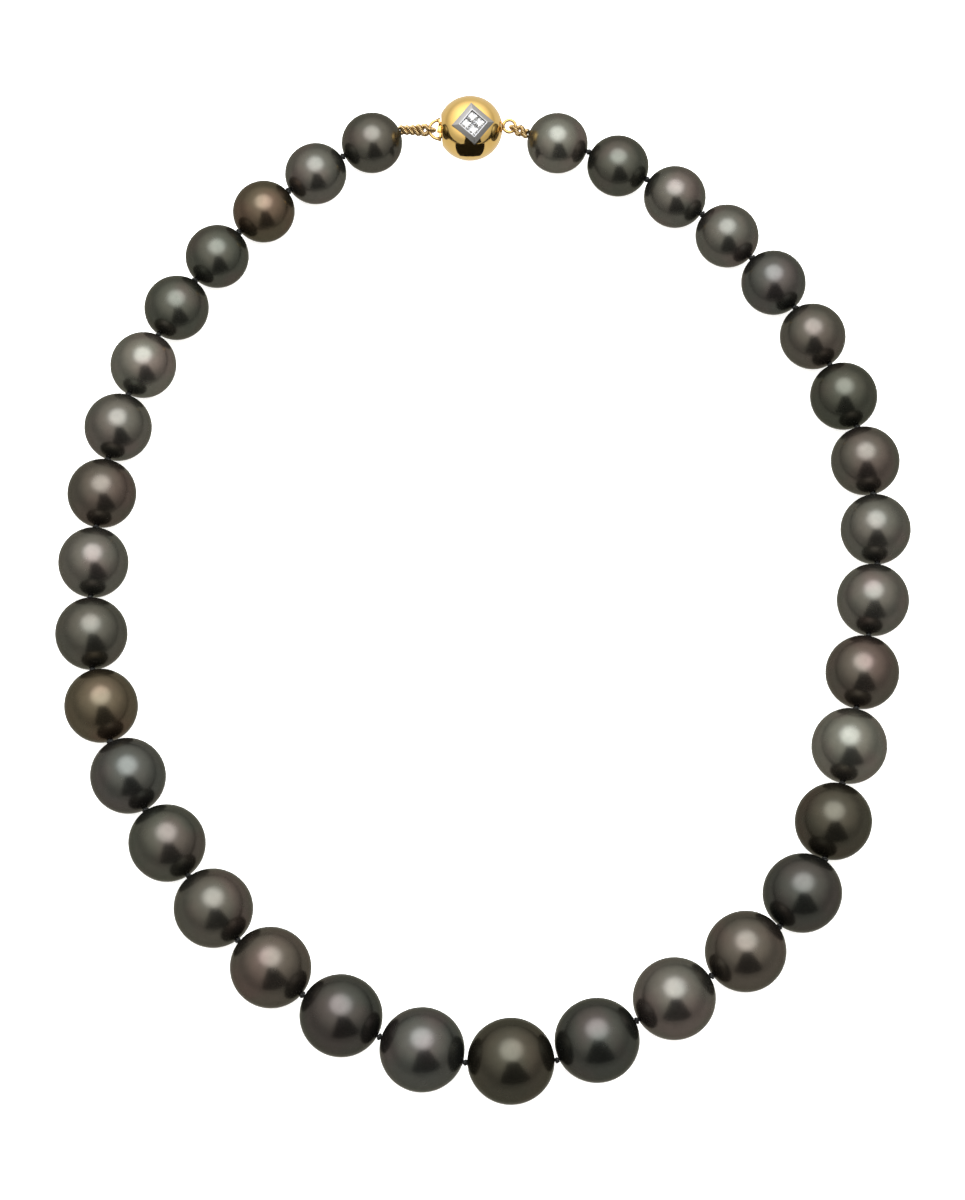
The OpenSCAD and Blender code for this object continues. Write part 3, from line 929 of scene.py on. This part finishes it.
corner = math.degrees(math.asin(PLATE_HALF_H / PLATE_R))
outline = arc((0, 0), PLATE_R, -corner, corner, 16)
outline += [(NOTCH_HALF_W, PLATE_HALF_H), (NOTCH_HALF_W, leaf_top), (-NOTCH_HALF_W, leaf_top),
            (-NOTCH_HALF_W, PLATE_HALF_H)]
outline += arc((0, 0), PLATE_R, 180 - corner, 180 + corner, 16)
plate = soften(slab(outline, PLATE_X, PLATE_X + PLATE_T), 0.05 * MM, above=40)
piece = finish_piece("tongue_end_plate", moved(plate, about_axis), "clasp_tongue",
                     wire_gold_painted_darker, 30)
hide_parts("tongue_flange")

bow = [Vector((PLATE_X + 0.1 * MM, BAIL_R, 0))]
bow += [Vector((PLATE_X + x, y, 0)) for x, y in arc((0, 0), BAIL_R, 90, 270, 48)]
bow += [Vector((PLATE_X + 0.1 * MM, -BAIL_R, 0))]
piece = finish_piece("bail_wire", moved(tube(bow, WIRE_R, 24), in_clasp), "clasp_tongue",
                     wire_gold_painted_darker, 50)
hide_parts("tongue_bail")
for name, way in (("bail_solder_near", -1), ("bail_solder_far", 1)):
    foot = [(0, 0.05), (0.42, 0.02), (0.38, -0.06), (0.32, -0.16), (0.26, -0.34), (0, -0.36)]
    foot = moved(spun([(r * MM, h * MM) for r, h in foot], 32),
                 about_axis @ Matrix.Translation((way * BAIL_R, 0, PLATE_X)))
    finish_piece(name, foot, "clasp_tongue", wire_gold_painted_darker, 50)

# ---- Spring ---------------------------------------------------------------------------------
# The tongue's upper leaf is the same strip past the fold. It springs up to a step that catches
# behind the ball's face, and a narrow trigger runs out through the slot, to be pressed down.
SPRING_X = 2.54 * MM
SPRING_Z = -0.115 * MM
SPRING_W = 2.2 * MM
CATCH_X = -4.15 * MM
CATCH_LOW = 0.20 * MM
CATCH_TOP = 0.84 * MM
TRIGGER_Z = 0.45 * MM
TRIGGER_W = 1.2 * MM
TRIGGER_END = -5.58 * MM

strip = [(SPRING_X, SPRING_Z - STRIP_T / 2), (SPRING_X, SPRING_Z + STRIP_T / 2),
         (CATCH_X + 0.52 * MM, CATCH_LOW + STRIP_T), (CATCH_X + 0.24 * MM, CATCH_TOP),
         (CATCH_X, CATCH_TOP), (CATCH_X, CATCH_LOW), (CATCH_X + 0.4 * MM, CATCH_LOW)]
strip = soften(slab(strip, -SPRING_W / 2, SPRING_W / 2), 0.05 * MM)
piece = finish_piece("spring_strip", moved(strip, side_view), "clasp_spring", yellow_gold, 30)
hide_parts("spring_leaf")
trigger_low = TRIGGER_Z - STRIP_T / 2
trigger = [(CATCH_X + 0.4 * MM, trigger_low), (CATCH_X + 0.4 * MM, trigger_low + STRIP_T),
           (TRIGGER_END + STRIP_T, trigger_low + STRIP_T), (TRIGGER_END + STRIP_T, trigger_low + 0.55 * MM),
           (TRIGGER_END, trigger_low + 0.55 * MM), (TRIGGER_END, trigger_low)]
trigger = soften(slab(trigger, -TRIGGER_W / 2, TRIGGER_W / 2), 0.06 * MM)
finish_piece("spring_trigger", moved(trigger, side_view), "clasp_spring", yellow_gold, 30)

# ---- Black card -----------------------------------------------------------------------------
# A small black card leans in front of the ball, so that polished gold keeps one dark reflection
# below the setting. Only reflections show it.
card = [(-4.0, -9.0, -7.4), (-2.0, -9.0, -5.2), (0.0, -9.0, -4.4), (2.0, -9.0, -5.2), (4.0, -9.0, -7.4),
        (7.2, -9.0, 2.0), (0.0, -9.0, 4.8), (-7.2, -9.0, 2.0)]
card = stage_card("black_card", [ball_centre + Vector(c) * MM for c in card], (0.01, 0.01, 0.01, 1))
only_in_reflections(card)
